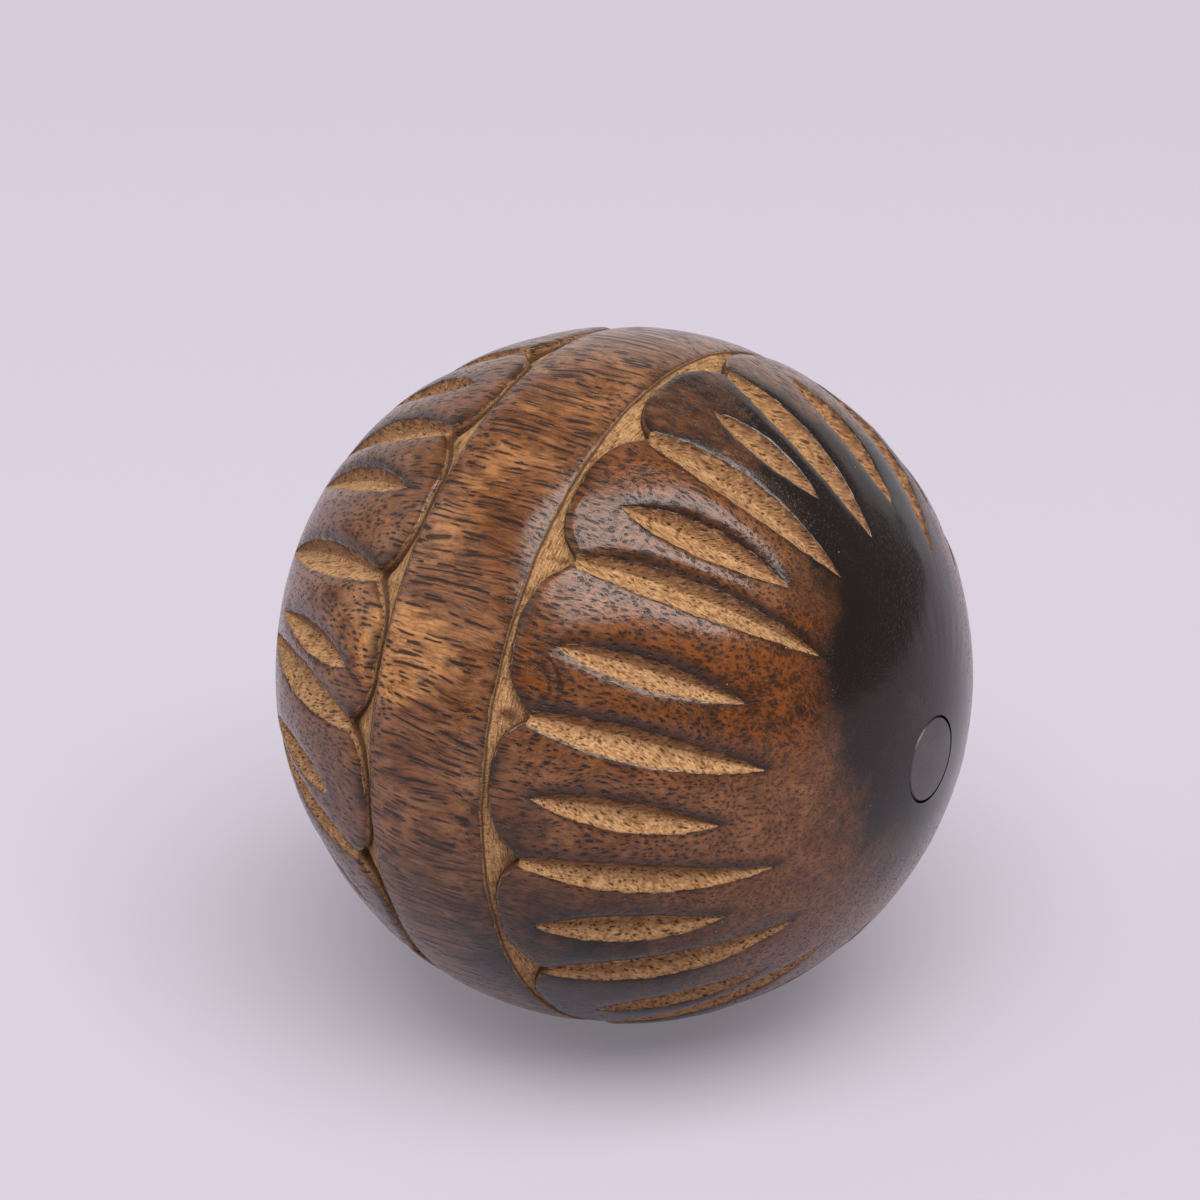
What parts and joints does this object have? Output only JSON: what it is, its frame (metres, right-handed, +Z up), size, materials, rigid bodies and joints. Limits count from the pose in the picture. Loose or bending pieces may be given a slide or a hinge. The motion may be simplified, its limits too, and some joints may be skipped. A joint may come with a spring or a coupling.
{
  "type": "decorative wooden ball",
  "caption": "Carved hardwood decorative ball with a plain belt, rings of petals parted by tapered gouges, and a round plug at one pole.",
  "frame": {"origin": "middle of the small flat spot under the belt, on the surface that the ball rests on", "axes": "+X along the ball's turning axis towards the plug, +Z up across the belt, +Y level, to the left of +X seen from above"},
  "size_m": [0.1, 0.1, 0.0996],
  "materials": {
    "carved_wood": "torch-browned hardwood under a satin lacquer, burnt nearly black round the poles and along the cuts, with raw tan wood in the groove and the gouges",
    "plug_wood": "smooth scorched grey-brown wood under a satin lacquer"
  },
  "bodies": {
    "root": {"carved_ball": "carved_wood", "pole_plug": "plug_wood"}
  },
  "joints": []
}
